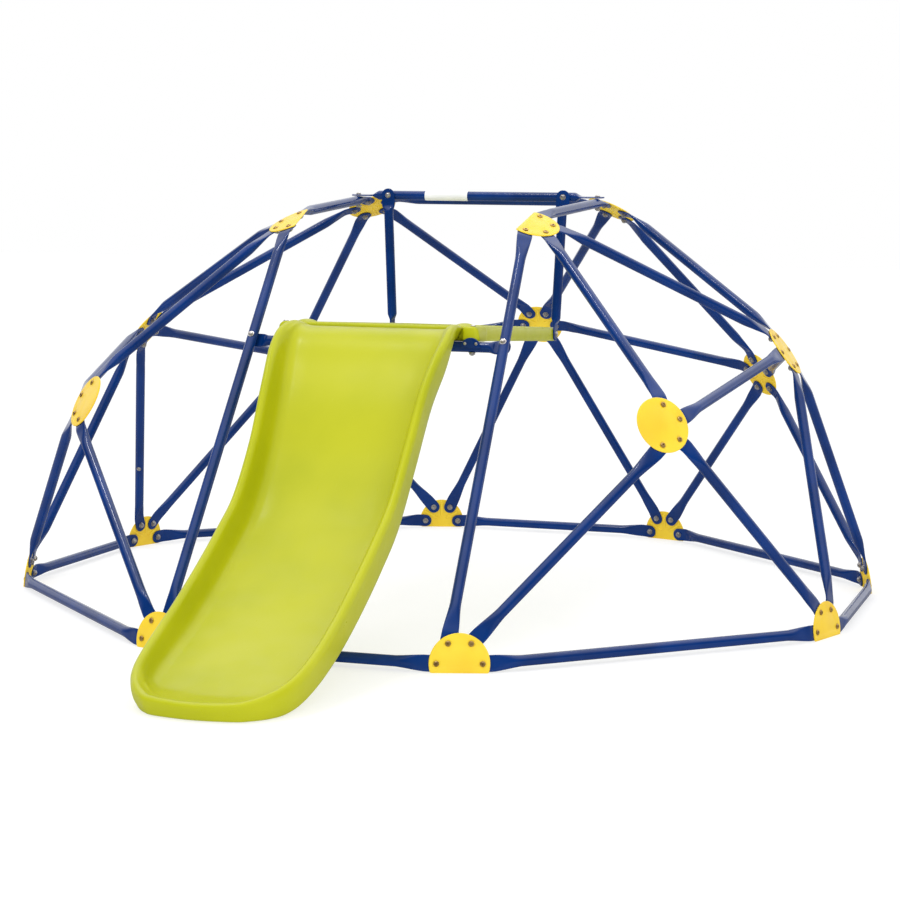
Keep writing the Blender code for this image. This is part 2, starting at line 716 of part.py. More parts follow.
# slide, bolted down through the cross bar
rings = slide_rings()
toe = Vector((0.0, SLIDE[-1][0], SLIDE[-1][1]))
slide = add_object("slide", *skin(rings), Matrix.Translation(toe), lime)
slide_bolts = []
for sign in (-1.0, 1.0):
    seat = cross_axis + SIDE * sign * SLIDE_BOLT_X + WORLD_UP * (TUBE_R + GAP)
    slide_bolts.append(bolt(seat + WORLD_UP * SLIDE_BOLT_SEAT, WORLD_UP,
                            SLIDE_BOLT_SEAT + 2.0 * TUBE_R + 2.0 * GAP, 0.0))
boolean(slide, add_object("cut_slide_bolts", *join_solids(slide_bolts), Matrix.Identity(4)), "UNION")


def centre_on_origin():
    """Shift the parts and cutters so the bounding box stands centred on the origin."""
    bpy.context.view_layer.update()
    graph = bpy.context.evaluated_depsgraph_get()
    corners = []
    for obj in parts_home.objects:
        done = obj.evaluated_get(graph)
        corners.extend(done.matrix_world @ v.co for v in done.data.vertices)
    low = Vector((min(c.x for c in corners), min(c.y for c in corners), min(c.z for c in corners)))
    high = Vector((max(c.x for c in corners), max(c.y for c in corners), max(c.z for c in corners)))
    shift = Vector((-(low.x + high.x) / 2.0, -(low.y + high.y) / 2.0, -low.z))
    for obj in list(parts_home.objects) + list(cutter_home.objects):
        obj.location = obj.location + shift
    bpy.context.view_layer.update()


centre_on_origin()
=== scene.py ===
"""Looks of the dome climber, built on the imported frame.

Fine round tubes with pressed ends, pressed hub plates, fasteners, the moulded slide and deck,
their finishes, a pale floor, soft light and the camera.
"""
import json
import math

import bmesh
import bpy
from mathutils import Matrix, Vector

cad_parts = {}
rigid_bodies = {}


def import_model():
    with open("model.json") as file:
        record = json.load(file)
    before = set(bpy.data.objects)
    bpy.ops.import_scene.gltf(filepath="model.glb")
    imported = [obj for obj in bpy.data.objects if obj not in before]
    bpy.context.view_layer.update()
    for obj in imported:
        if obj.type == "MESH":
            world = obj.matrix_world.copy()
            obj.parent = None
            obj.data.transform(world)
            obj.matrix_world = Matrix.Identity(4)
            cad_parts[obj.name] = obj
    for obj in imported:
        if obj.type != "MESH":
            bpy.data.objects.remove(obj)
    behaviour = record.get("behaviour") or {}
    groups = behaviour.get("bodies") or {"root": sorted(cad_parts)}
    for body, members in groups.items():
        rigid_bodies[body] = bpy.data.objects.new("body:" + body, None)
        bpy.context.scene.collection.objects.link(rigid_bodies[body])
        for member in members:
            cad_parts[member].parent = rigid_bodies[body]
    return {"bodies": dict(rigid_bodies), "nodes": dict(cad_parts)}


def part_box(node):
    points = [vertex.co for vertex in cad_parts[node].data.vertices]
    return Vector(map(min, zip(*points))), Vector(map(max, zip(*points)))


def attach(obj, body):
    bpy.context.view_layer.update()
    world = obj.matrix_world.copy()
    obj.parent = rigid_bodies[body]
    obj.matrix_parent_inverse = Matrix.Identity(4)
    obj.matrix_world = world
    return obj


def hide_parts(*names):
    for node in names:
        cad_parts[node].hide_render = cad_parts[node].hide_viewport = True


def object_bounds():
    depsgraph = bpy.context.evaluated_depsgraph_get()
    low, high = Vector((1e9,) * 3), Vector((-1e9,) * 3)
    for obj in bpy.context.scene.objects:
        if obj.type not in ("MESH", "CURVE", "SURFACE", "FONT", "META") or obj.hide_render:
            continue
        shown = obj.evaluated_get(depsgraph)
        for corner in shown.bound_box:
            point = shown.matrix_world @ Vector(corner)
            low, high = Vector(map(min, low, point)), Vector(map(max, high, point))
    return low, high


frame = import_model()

cad_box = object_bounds()
kept = set(frame["nodes"].values()) | set(frame["bodies"].values())
for obj in list(bpy.data.objects):
    if obj not in kept:
        bpy.data.objects.remove(obj, do_unlink=True)

# ---------------------------------------------------------------- dimensions, as in the CAD
MM = 0.001

TUBE_R = 0.0125                      # frame tube
FLAT_T = 0.004                       # pressed tube end: thickness and half width
FLAT_HALF = 0.0185
GAP = 0.0003                         # clearance between touching pieces
BEND_AT = 0.024                      # from bolt centre to the bend in the tube end
SWELL = 0.070                        # from the bend to full round tube
SHORT_SWELL = 0.020                  # the same on the cross bar, hanger bar and posts

PLATE_R = 0.067
PLATE_T = 0.0035
BOLT_CIRCLE = 0.0505
FLAT_CUT = 0.0204                    # from a D plate's centre to its straight edge
BASE_LEAN = math.radians(7.0)        # base plates lean in at the top

BASE_R = 1.110                       # base hubs, in four pairs
BASE_HALF = math.radians(18.75)
SIDE_R = 0.876                       # side and rear middle hubs
SIDE_Z = 0.632
FRONT_HUB = (0.716, -0.688, 0.502)
REAR_HUB = (0.696, 0.687, 0.520)
TOP_FRONT = (0.310, -0.342, 0.945)
TOP_REAR = (0.342, 0.331, 0.977)

CROSS_Z = 0.666                      # cross bar under the deck's front edge
CROSS_BEND = 0.020
CROSS_TIP = 0.65                     # its end tabs are shorter past the bolt
SADDLE_X = 0.235
SADDLE_R = 0.0245
SLIDE_BOLT_X = 0.120
HANGER_Y = 0.205                     # hanger bar over the deck's rear edge
HANGER_BEND = 0.042
POST_X = 0.245
POST_BOLT_DROP = 0.018               # post bolt below the deck's top

DECK_T = 0.036
DECK_HALF = 0.2275
DECK_BACK = 0.822
DECK_EAR_X = 0.255                   # ears of the front edge, either side of the slide
DECK_EAR_IN = 0.212
DECK_EAR_FRONT = -0.012
DECK_MID_FRONT = 0.0115
DECK_EAR_BACK = 0.060
DECK_TAPER = 0.095
DECK_TILT = math.radians(3.1)
DECK_RIM = 0.022
DECK_POCKET = 0.005                  # depth of the tray inside the rim

GROUND_Z = -(FLAT_CUT * math.cos(BASE_LEAN) + PLATE_T / 2.0 * math.sin(BASE_LEAN))

# Slide stations from the cross bar to the toe:
# (y, underside z, half width, wall height, floor thickness)
SLIDE = (
    (-0.5770, 0.6700, 0.2085, 0.0340, 0.026),
    (-0.6180, 0.6690, 0.2110, 0.0430, 0.026),
    (-0.6480, 0.6480, 0.217, 0.0665, 0.027),
    (-0.6850, 0.6000, 0.214, 0.0880, 0.028),
    (-0.7520, 0.5180, 0.203, 0.0960, 0.028),
    (-0.8400, 0.3920, 0.196, 0.0970, 0.028),
    (-0.9500, 0.2680, 0.194, 0.0970, 0.028),
    (-1.0600, 0.1930, 0.194, 0.0970, 0.028),
    (-1.1750, 0.1270, 0.194, 0.0960, 0.028),
    (-1.3000, 0.0660, 0.194, 0.0920, 0.028),
    (-1.4200, 0.0210, 0.193, 0.0840, 0.028),
    (-1.5100, -0.0060, 0.187, 0.0760, 0.027),
    (-1.5700, -0.0180, 0.175, 0.0680, 0.026),
    (-1.6150, GROUND_Z, 0.156, 0.0580, 0.027),
    (-1.6500, GROUND_Z, 0.128, 0.0480, 0.028),
    (-1.6740, GROUND_Z, 0.092, 0.0420, 0.028),
    (-1.6880, GROUND_Z, 0.000, 0.0390, 0.028),
)
TOE_FROM = -1.520                    # the toe's rows aim at the centre line here

UP = Vector((0.0, 0.0, 1.0))
FORWARD = Vector((0.0, -1.0, 0.0))
SIDE = Vector((1.0, 0.0, 0.0))
# from dome coordinates, with the origin between the base hubs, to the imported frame
SHIFT = Vector((0.0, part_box("slide")[0][1] - SLIDE[-1][0], cad_box[0][2] - GROUND_Z))


# ---------------------------------------------------------------- node materials
class Nodes:
    """Short way to build a material's node tree."""

    def __init__(self, name):
        self.mat = bpy.data.materials.new(name)
        self.mat.use_nodes = True
        self.tree = self.mat.node_tree
        self.bsdf = self.tree.nodes["Principled BSDF"]
        self.coords = self.tree.nodes.new("ShaderNodeTexCoord").outputs["Object"]

    def link(self, a, b):
        self.tree.links.new(a, b)

    def noise(self, scale, detail=3.0, rough=0.55, stretch=None):
        node = self.tree.nodes.new("ShaderNodeTexNoise")
        node.inputs["Scale"].default_value = scale
        node.inputs["Detail"].default_value = detail
        node.inputs["Roughness"].default_value = rough
        coords = self.coords
        if stretch:
            mapping = self.tree.nodes.new("ShaderNodeMapping")
            mapping.inputs["Scale"].default_value = stretch
            self.link(coords, mapping.inputs["Vector"])
            coords = mapping.outputs["Vector"]
        self.link(coords, node.inputs["Vector"])
        return node.outputs["Fac"]

    def span(self, value, low, high, to_low=0.0, to_high=1.0):
        node = self.tree.nodes.new("ShaderNodeMapRange")
        node.interpolation_type = "SMOOTHSTEP"
        self.link(value, node.inputs["Value"])
        node.inputs["From Min"].default_value = low
        node.inputs["From Max"].default_value = high
        node.inputs["To Min"].default_value = to_low
        node.inputs["To Max"].default_value = to_high
        return node.outputs["Result"]

    def mix(self, fac, a, b):
        node = self.tree.nodes.new("ShaderNodeMix")
        node.data_type = "RGBA"
        self.link(fac, node.inputs["Factor"])
        for value, socket in ((a, node.inputs[6]), (b, node.inputs[7])):
            if isinstance(value, tuple):
                socket.default_value = (*value, 1.0)
            else:
                self.link(value, socket)
        return node.outputs[2]

    def add(self, a, b, operation="ADD"):
        node = self.tree.nodes.new("ShaderNodeMath")
        node.operation = operation
        for value, socket in ((a, node.inputs[0]), (b, node.inputs[1])):
            if isinstance(value, float):
                socket.default_value = value
            else:
                self.link(value, socket)
        return node.outputs[0]

    def bump(self, height, strength, distance):
        node = self.tree.nodes.new("ShaderNodeBump")
        node.inputs["Strength"].default_value = strength
        node.inputs["Distance"].default_value = distance
        self.link(height, node.inputs["Height"])
        self.link(node.outputs["Normal"], self.bsdf.inputs["Normal"])

    def set(self, **values):
        for key, value in values.items():
            self.bsdf.inputs[key.replace("_", " ")].default_value = value


def powder_coat(name, deep, main, scuff, roughness):
    """Gloss powder coat: slow colour drift, orange peel, a few dull scuffs."""
    n = Nodes(name)
    drift = n.span(n.noise(7.0, 2.0), 0.3, 0.7)
    colour = n.mix(drift, deep, main)
    scuffs = n.span(n.noise(46.0, 5.0, 0.7), 0.67, 0.76)
    worn = n.add(scuffs, 0.55, "MULTIPLY")
    n.link(n.mix(worn, colour, scuff), n.bsdf.inputs["Base Color"])
    base = n.span(n.noise(24.0, 3.0), 0.3, 0.7, roughness - 0.04, roughness + 0.06)
    n.link(n.add(base, n.add(worn, 0.20, "MULTIPLY")), n.bsdf.inputs["Roughness"])
    n.bump(n.add(n.noise(240.0, 2.0), n.add(worn, -0.5, "MULTIPLY")), 0.05, 0.0003)
    n.set(Specular_IOR_Level=0.36)
    return n.mat


def moulded(name, deep, main, pale):
    """Satin blow-moulded plastic: faint mottling, grained skin, fine rub marks down the run."""
    n = Nodes(name)
    drift = n.span(n.noise(3.2, 3.0), 0.3, 0.7)
    colour = n.mix(drift, deep, main)
    rub = n.span(n.noise(60.0, 5.0, 0.65, (4.0, 0.35, 0.5)), 0.60, 0.80)
    soft = n.add(rub, 0.30, "MULTIPLY")
    n.link(n.mix(soft, colour, pale), n.bsdf.inputs["Base Color"])
    base = n.span(n.noise(18.0, 4.0), 0.3, 0.7, 0.29, 0.38)
    n.link(n.add(base, n.add(rub, -0.08, "MULTIPLY")), n.bsdf.inputs["Roughness"])
    n.bump(n.add(n.noise(900.0, 3.0), n.add(rub, 0.5, "MULTIPLY")), 0.14, 0.0003)
    n.set(Specular_IOR_Level=0.25)
    return n.mat


def plated(name, deep, main, roughness, metal):
    """Plated steel: uneven tint in small patches and a fine grain."""
    n = Nodes(name)
    patches = n.span(n.noise(160.0, 4.0, 0.6), 0.35, 0.68)
    n.link(n.mix(patches, deep, main), n.bsdf.inputs["Base Color"])
    n.link(n.span(n.noise(300.0, 3.0), 0.3, 0.7, roughness - 0.08, roughness + 0.12),
           n.bsdf.inputs["Roughness"])
    n.bump(n.noise(1500.0, 2.0), 0.18, 0.0002)
    n.set(Metallic=metal)
    return n.mat


blue = powder_coat("coat_blue", (0.0010, 0.021, 0.120), (0.0015, 0.031, 0.175),
                   (0.012, 0.048, 0.190), 0.13)
yellow = powder_coat("coat_yellow", (0.790, 0.520, 0.020), (0.880, 0.640, 0.032),
                     (0.780, 0.600, 0.120), 0.34)
lime = moulded("moulded_lime", (0.395, 0.425, 0.003), (0.465, 0.480, 0.006), (0.540, 0.560, 0.060))
brassy = plated("bolt_passivated", (0.300, 0.170, 0.055), (0.520, 0.350, 0.130), 0.36, 0.75)
zinc = plated("nut_zinc", (0.360, 0.330, 0.320), (0.640, 0.620, 0.600), 0.30, 0.85)
film = powder_coat("label_film", (0.760, 0.770, 0.780), (0.860, 0.865, 0.870),
                   (0.700, 0.710, 0.720), 0.34)


# ---------------------------------------------------------------- mesh helpers
def square_to(run, hint):
    """Unit direction square to run, nearest to hint."""
    run = run.normalized()
    return (hint - run * hint.dot(run)).normalized()


def mirrored(p):
    """The same point or direction on the other side of the dome."""
    return Vector((-p.x, p.y, p.z))


def finish_piece(name, bm, mats, nodes=(), sharp=38.0):
    """Turn a bmesh in dome coordinates into a piece that rides on the frame."""
    bmesh.ops.recalc_face_normals(bm, faces=bm.faces)
    bm.transform(Matrix.Translation(SHIFT))
    mesh = bpy.data.meshes.new(name)
    bm.to_mesh(mesh)
    bm.free()
    for mat in mats:
        mesh.materials.append(mat)
    for poly in mesh.polygons:
        poly.use_smooth = True
    mesh.set_sharp_from_angle(angle=math.radians(sharp))
    obj = bpy.data.objects.new(name, mesh)
    bpy.context.scene.collection.objects.link(obj)
    if nodes:
        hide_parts(*nodes)
    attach(obj, "root")
    return obj


def add_rings(bm, rings, mat=0):
    """Skin equal closed rings of points into one capped body."""
    made = [[bm.verts.new(p) for p in ring] for ring in rings]
    count = len(made[0])
    for a, b in zip(made, made[1:]):
        for j in range(count):
            k = (j + 1) % count
            bm.faces.new((a[j], a[k], b[k], b[j])).material_index = mat
    bm.faces.new(made[0][::-1]).material_index = mat
    bm.faces.new(made[-1]).material_index = mat


def basis(axis):
    """Two directions square to axis and to each other."""
    hint = UP if abs(axis.z) < 0.9 else SIDE
    u = square_to(axis, hint)
    return u, axis.cross(u)


# (height, radius, six) of turned fasteners in mm; six 0 is round, six 1 is a hexagon
HEAD_PROFILE = ((-0.6, 6.2, 0.0), (0.2, 6.5, 0.0), (1.0, 6.3, 0.0), (1.9, 5.5, 0.0),
                (2.6, 4.2, 0.0), (2.85, 3.3, 0.0), (2.7, 2.9, 1.0), (1.1, 2.8, 1.0))
NUT_PROFILE = ((-0.1, 8.1, 0.0), (0.1, 8.5, 0.0), (1.0, 8.5, 0.0), (1.2, 8.2, 0.0),
               (1.2, 6.6, 0.0), (1.5, 7.5, 1.0), (5.0, 7.5, 1.0), (5.6, 6.6, 0.4),
               (5.7, 4.4, 0.0), (5.3, 4.0, 0.0), (6.6, 4.0, 0.0), (6.8, 3.7, 0.0),
               (7.0, 4.0, 0.0), (7.4, 4.0, 0.0), (7.9, 3.2, 0.0))
DOME_PROFILE = ((-1.2, 7.6, 0.0), (0.3, 8.0, 0.0), (0.9, 7.8, 0.0), (1.1, 6.4, 0.0),
                (2.2, 6.2, 0.0), (3.6, 5.4, 0.0), (4.6, 3.9, 0.0), (5.1, 2.0, 0.0),
                (5.2, 0.6, 0.0))
TURNED_SIDES = 24


def turned(bm, root, axis, profile, mat=0, size=1.0):
    """Solid turned about axis from a profile in mm, scaled by size."""
    u, v = basis(axis)
    rings = []
    for height, radius, six in profile:
        ring = []
        for i in range(TURNED_SIDES):
            a = 2.0 * math.pi * i / TURNED_SIDES
            from_flat = (a + math.pi / 6.0) % (math.pi / 3.0) - math.pi / 6.0
            hexagon = math.cos(math.pi / 6.0) / math.cos(from_flat)
            r = radius * (1.0 - six + six * hexagon)
            spoke = u * math.cos(a) + v * math.sin(a)
            ring.append(root + (axis * height + spoke * r) * MM * size)
        rings.append(ring)
    add_rings(bm, rings, mat)


def bolt_head(bm, seat, axis, mat=0):
    """Low button head with a six sided socket, seated at seat."""
    turned(bm, seat, axis, HEAD_PROFILE, mat=mat)


def washer_nut(bm, seat, axis, mat=0):
    """Washer, hexagon nut and bolt end standing off seat along axis."""
    turned(bm, seat, axis, NUT_PROFILE, mat=mat)


def dome_nut(bm, seat, axis, mat=0, size=1.0):
    """Domed cap on a washer."""
    turned(bm, seat, axis, DOME_PROFILE, mat=mat, size=size)


# ---------------------------------------------------------------- hubs, as in the CAD
def polar(radius, angle, z):
    """Point on a level circle about the dome's axis."""
    return Vector((radius * math.cos(angle), radius * math.sin(angle), z))


def hub_positions():
    """Plate centres: B at the base, M in the middle ring, T at the top."""
    hubs = {}
    for k in range(4):
        axis = -math.pi / 2.0 + k * math.pi / 2.0
        hubs["B%d" % (2 * k + 1)] = polar(BASE_R, axis + BASE_HALF, 0.0)
        hubs["B%d" % (2 * k + 2)] = polar(BASE_R, axis + math.pi / 2.0 - BASE_HALF, 0.0)
    hubs["M1"] = Vector(FRONT_HUB)
    hubs["M2"] = Vector((SIDE_R, 0.0, SIDE_Z))
    hubs["M3"] = Vector(REAR_HUB)
    hubs["M4"] = Vector((0.0, SIDE_R, SIDE_Z))
    hubs["M5"] = mirrored(hubs["M3"])
    hubs["M6"] = mirrored(hubs["M2"])
    hubs["M7"] = mirrored(hubs["M1"])
    hubs["T2"] = Vector(TOP_FRONT)
    hubs["T3"] = Vector(TOP_REAR)
    hubs["T1"] = mirrored(hubs["T2"])
    hubs["T4"] = mirrored(hubs["T3"])
    return hubs


BASE_RAILS = (("B1", "B2"), ("B2", "B3"), ("B3", "B4"), ("B4", "B5"),
              ("B5", "B6"), ("B6", "B7"), ("B7", "B8"), ("B8", "B1"))
TUBES = (
    ("M1", "B1"), ("M1", "B2"), ("M2", "B2"), ("M2", "B3"), ("M3", "B3"), ("M3", "B4"),
    ("M4", "B4"), ("M4", "B5"), ("M5", "B5"), ("M5", "B6"), ("M6", "B6"), ("M6", "B7"),
    ("M7", "B7"), ("M7", "B8"),
    ("M1", "M2"), ("M2", "M3"), ("M3", "M4"), ("M4", "M5"), ("M5", "M6"), ("M6", "M7"),
    ("T2", "M1"), ("T2", "M2"), ("T3", "M2"), ("T3", "M3"), ("T3", "M4"),
    ("T4", "M4"), ("T4", "M5"), ("T4", "M6"), ("T1", "M6"), ("T1", "M7"),
    ("T1", "T4"), ("T4", "T3"), ("T3", "T2"),
    ("T1", "B8"), ("T2", "B1"),
)


def neighbours(name):
    """Names of the hubs that a tube joins to this one."""
    found = []
    for a, b in BASE_RAILS + TUBES:
        if name in (a, b):
            found.append(b if a == name else a)
    return found


class Hub:
    """Plate centre, axes and bolt positions."""

    def __init__(self, name, hubs):
        self.name = name
        self.centre = hubs[name]
        out = Vector((self.centre.x, self.centre.y, 0.0)).normalized()
        if name[0] == "B":
            self.normal = (out * math.cos(BASE_LEAN) + UP * math.sin(BASE_LEAN)).normalized()
        else:
            self.normal = self.centre.normalized()
        self.up = square_to(self.normal, UP)
        self.right = self.up.cross(self.normal)
        self.set_slots(hubs)

    def set_slots(self, hubs):
        """Share the bolt holes out at an even pitch that follows the tubes best."""
        angles = {}
        for other in neighbours(self.name):
            run = hubs[other] - self.centre
            angles[other] = math.atan2(run.dot(self.up), run.dot(self.right))
        order = sorted(angles, key=lambda n: angles[n])
        count = len(order)
        gaps = [(angles[order[(i + 1) % count]] - angles[order[i]]) % (2.0 * math.pi)
                for i in range(count)]
        start = (gaps.index(max(gaps)) + 1) % count
        order = order[start:] + order[:start]
        self.pitch = math.radians(72.0 if count == 5 else 60.0)
        first = angles[order[0]]
        drift = sum((angles[o] - first) % (2.0 * math.pi) - i * self.pitch
                    for i, o in enumerate(order))
        self.turn = 0.0 if self.name[0] == "B" else first + drift / count
        self.slots = {o: self.turn + i * self.pitch for i, o in enumerate(order)}
        self.is_d = count == 4 and self.name[0] != "M"

    def in_plane(self, angle):
        return self.right * math.cos(angle) + self.up * math.sin(angle)

    def at(self, x, y, h):
        """Point at plate coordinates x, y turned with the bolt holes, h off the mid plane."""
        return (self.centre + self.in_plane(self.turn) * x
                + self.in_plane(self.turn + math.pi / 2.0) * y + self.normal * h)

    def bolt_at(self, other):
        return self.centre + self.in_plane(self.slots[other]) * BOLT_CIRCLE


# ---------------------------------------------------------------- tubes
RING = 28                            # points round a tube section
SQUARE = 4.5                         # superellipse power of the pressed section
TIP_STEPS = (-0.985, -0.94, -0.86, -0.72, -0.5, -0.25, 0.0)
BEND_EASE = 0.009                    # half length of the rounding at the bend
EASE_SHARE = 0.4                     # at most this share of the way to the bolt
EASE_STEPS = 4
SWELL_STEPS = 10


def tube_section(centre, u, v, half_w, half_t, power):
    """Superellipse ring: power 2 is round, higher is the squared section of a pressed end."""
    ring = []
    for i in range(RING):
        a = 2.0 * math.pi * i / RING
        c, s = math.cos(a), math.sin(a)
        x = math.copysign(abs(c) ** (2.0 / power), c) * half_w
        y = math.copysign(abs(s) ** (2.0 / power), s) * half_t
        ring.append(centre + u * x + v * y)
    return ring


def smooth(t):
    """Smoothstep, held at 0 and 1 outside its range."""
    t = min(max(t, 0.0), 1.0)
    return t * t * (3.0 - 2.0 * t)


class TubeEnd:
    """Pressed end: bolt centre in its own mid plane, plate normal, and where the bend falls."""

    def __init__(self, centre, normal, towards, bend_at, swell, tip=1.0):
        self.centre = centre
        self.normal = normal
        self.swell = swell
        self.tip = tip
        self.run = square_to(normal, towards - centre)
        self.bend = centre + self.run * bend_at
        self.ease = min(BEND_EASE, bend_at * EASE_SHARE)

    def rings(self, axis, sign):
        """Rings from the rounded tip to full round, and the width direction they end with."""
        out = axis * sign
        along = self.run * sign
        across = self.normal.cross(along).normalized()
        half = FLAT_T / 2.0
        rings = []
        for k in TIP_STEPS:
            point = self.centre + self.run * (k * FLAT_HALF * self.tip)
            wide = FLAT_HALF * math.sqrt(1.0 - k * k)
            thick = half * (0.55 if k < -0.97 else 0.85 if k < -0.9 else 1.0)
            rings.append(self.ring(point, along, across, wide, thick, SQUARE))
        start = self.bend - self.run * self.ease
        stop = self.bend + out * self.ease
        rings.append(self.ring(start, along, across, FLAT_HALF, half, SQUARE))
        for i in range(1, EASE_STEPS):
            t = i / EASE_STEPS
            point = start * (1 - t) ** 2 + self.bend * (2 * t * (1 - t)) + stop * t * t
            tangent = (self.run.lerp(out, t)).normalized() * sign
            rings.append(self.ring(point, tangent, across, *self.shape(self.ease * 0.5 * t)))
        for i in range(SWELL_STEPS + 1):
            d = self.ease + (self.swell - self.ease) * i / SWELL_STEPS
            rings.append(self.ring(self.bend + out * d, axis, across, *self.shape(d)))
        return rings, square_to(axis, across)

    def shape(self, d):
        """Half width, half thickness and power at d past the bend."""
        t = d / self.swell
        wide = FLAT_HALF + (TUBE_R - FLAT_HALF) * (0.55 * t + 0.45 * smooth(t))
        thick = FLAT_T / 2.0 + (TUBE_R - FLAT_T / 2.0) * smooth(t) ** 0.9
        power = SQUARE + (2.0 - SQUARE) * smooth(t * 1.25)
        return wide, thick, power

    def ring(self, point, tangent, hint, wide, thick, power):
        u = square_to(tangent, hint)
        return tube_section(point, u, tangent.cross(u), wide, thick, power)


def pressed_tube(bm, end_a, end_b):
    """One tube between two pressed ends, its far rings turned to match the near ones."""
    axis = (end_b.bend - end_a.bend).normalized()
    rings_a, ua = end_a.rings(axis, 1.0)
    rings_b, ub = end_b.rings(axis, -1.0)
    va = axis.cross(ua)
    twist = math.atan2(ub.dot(va), ub.dot(ua))
    shift = round(twist / (2.0 * math.pi / RING)) % RING
    rings_b = [ring[-shift:] + ring[:-shift] if shift else ring for ring in rings_b]
    add_rings(bm, rings_a + rings_b[::-1])


def hub_ends(hub_a, hub_b):
    """Both ends of the tube between two hubs, lying under their plates."""
    drop = PLATE_T / 2.0 + GAP + FLAT_T / 2.0
    point_a = hub_a.bolt_at(hub_b.name) - hub_a.normal * drop
    point_b = hub_b.bolt_at(hub_a.name) - hub_b.normal * drop
    return (TubeEnd(point_a, hub_a.normal, point_b, BEND_AT, SWELL),
            TubeEnd(point_b, hub_b.normal, point_a, BEND_AT, SWELL))


# ---------------------------------------------------------------- hub plates
PLATE_SIDES = 72
PLATE_CORNER = 0.0045                # rounding of a D plate's two corners
PLATE_TOP = PLATE_T / 2.0
# pressed features as (inset from their outline, height over the plate's mid plane)
PLATE_EDGE = ((0.0010, -PLATE_TOP), (0.0, -PLATE_TOP + 0.0010), (0.0, 0.0002), (0.0004, 0.0009),
              (0.0013, 0.00145), (0.0026, 0.0017), (0.0036, PLATE_TOP))
RIB_EDGE = ((0.0, -PLATE_TOP), (0.0005, -PLATE_TOP - 0.0010), (0.0014, -PLATE_TOP - 0.0019),
            (0.0026, -PLATE_TOP - 0.0022))
RIB_FROM = 0.0185                    # ribs on the inside run outward between the bolts
RIB_TO = 0.0575
RIB_HALF = 0.0042
# the dished seat round a bolt as (radius, height)
DISH = ((0.0098, PLATE_TOP), (0.0090, PLATE_TOP - 0.0003), (0.0080, PLATE_TOP - 0.0009),
        (0.0072, PLATE_TOP - 0.0011))
DISH_SIDES = 28


def circle(radius, sides, x=0.0, y=0.0):
    """Closed outline of a circle about x, y."""
    return [(x + radius * math.cos(2.0 * math.pi * i / sides),
             y + radius * math.sin(2.0 * math.pi * i / sides)) for i in range(sides)]


def plate_outline(is_d, inset):
    """Plate outline in plate coordinates, moved in by inset, D plates with rounded corners."""
    radius = PLATE_R - inset
    if not is_d:
        return circle(radius, PLATE_SIDES)
    corner = max(PLATE_CORNER - inset, 0.0012)
    low = -FLAT_CUT + inset
    cy = low + corner
    cx = math.sqrt((radius - corner) ** 2 - cy * cy)
    tip = math.atan2(cy, cx)
    points = []
    for i in range(49):
        a = tip + (math.pi - 2.0 * tip) * i / 48
        points.append((radius * math.cos(a), radius * math.sin(a)))
    for i in range(1, 9):
        a = math.pi - tip + (math.pi / 2.0 + tip) * i / 8
        points.append((-cx + corner * math.cos(a), cy + corner * math.sin(a)))
    for i in range(8):
        a = -math.pi / 2.0 + (math.pi / 2.0 + tip) * i / 8
        points.append((cx + corner * math.cos(a), cy + corner * math.sin(a)))
    return points


def closed_edges(bm, verts):
    """Edges round a closed loop of vertices, made where they don't exist yet."""
    edges = []
    for i, here in enumerate(verts):
        pair = (here, verts[(i + 1) % len(verts)])
        edges.append(bm.edges.get(pair) or bm.edges.new(pair))
    return edges


def fill_between(bm, edges):
    """Fill the flat area between an outline and the loops inside it."""
    bmesh.ops.triangle_fill(bm, use_beauty=True, use_dissolve=False, edges=edges)


def bridge(bm, a, b):
    """Skin between two equal closed loops of vertices."""
    for j in range(len(a)):
        k = (j + 1) % len(a)
        bm.faces.new((a[j], a[k], b[k], b[j]))


def stadium(angle, near, far, half):
    """Closed outline of a round ended bar lying along angle from near to far."""
    points = []
    for centre, first in ((far, -math.pi / 2.0), (near, math.pi / 2.0)):
        for i in range(9):
            a = first + math.pi * i / 8
            points.append((centre + half * math.cos(a), half * math.sin(a)))
    c, s = math.cos(angle), math.sin(angle)
    return [(x * c - y * s, x * s + y * c) for x, y in points]


def bridged(bm, place, levels):
    """Vertex loops at each (outline, height), bridged in turn; place makes a 3D point."""
    loops = [[bm.verts.new(place(x, y, height)) for x, y in outline] for outline, height in levels]
    for a, b in zip(loops, loops[1:]):
        bridge(bm, a, b)
    return loops


def pressed_in(bm, place, levels):
    """A raised or sunk feature with a closed end; returns the edges where it leaves the sheet."""
    loops = bridged(bm, place, levels)
    edges = closed_edges(bm, loops[0])
    bm.faces.new(loops[-1])
    return edges


def plate_mesh(hub):
    """Pressed plate: rolled edge, a dished seat at each bolt outside, stiffening ribs inside."""
    bm = bmesh.new()
    loops = bridged(bm, hub.at, [(plate_outline(hub.is_d, inset), h) for inset, h in PLATE_EDGE])
    outer_edges = closed_edges(bm, loops[-1])
    for slot in hub.slots.values():
        a = slot - hub.turn
        cx, cy = BOLT_CIRCLE * math.cos(a), BOLT_CIRCLE * math.sin(a)
        outer_edges += pressed_in(bm, hub.at, [(circle(r, DISH_SIDES, cx, cy), h) for r, h in DISH])
    fill_between(bm, outer_edges)
    inner_edges = closed_edges(bm, loops[0])
    ribs = len(hub.slots) - 1 if hub.is_d else round(2.0 * math.pi / hub.pitch)
    for k in range(ribs):
        a = (k + 0.5) * hub.pitch
        inner_edges += pressed_in(bm, hub.at, [(stadium(a, RIB_FROM, RIB_TO, RIB_HALF - inset), h)
                                               for inset, h in RIB_EDGE])
    fill_between(bm, inner_edges)
    return bm


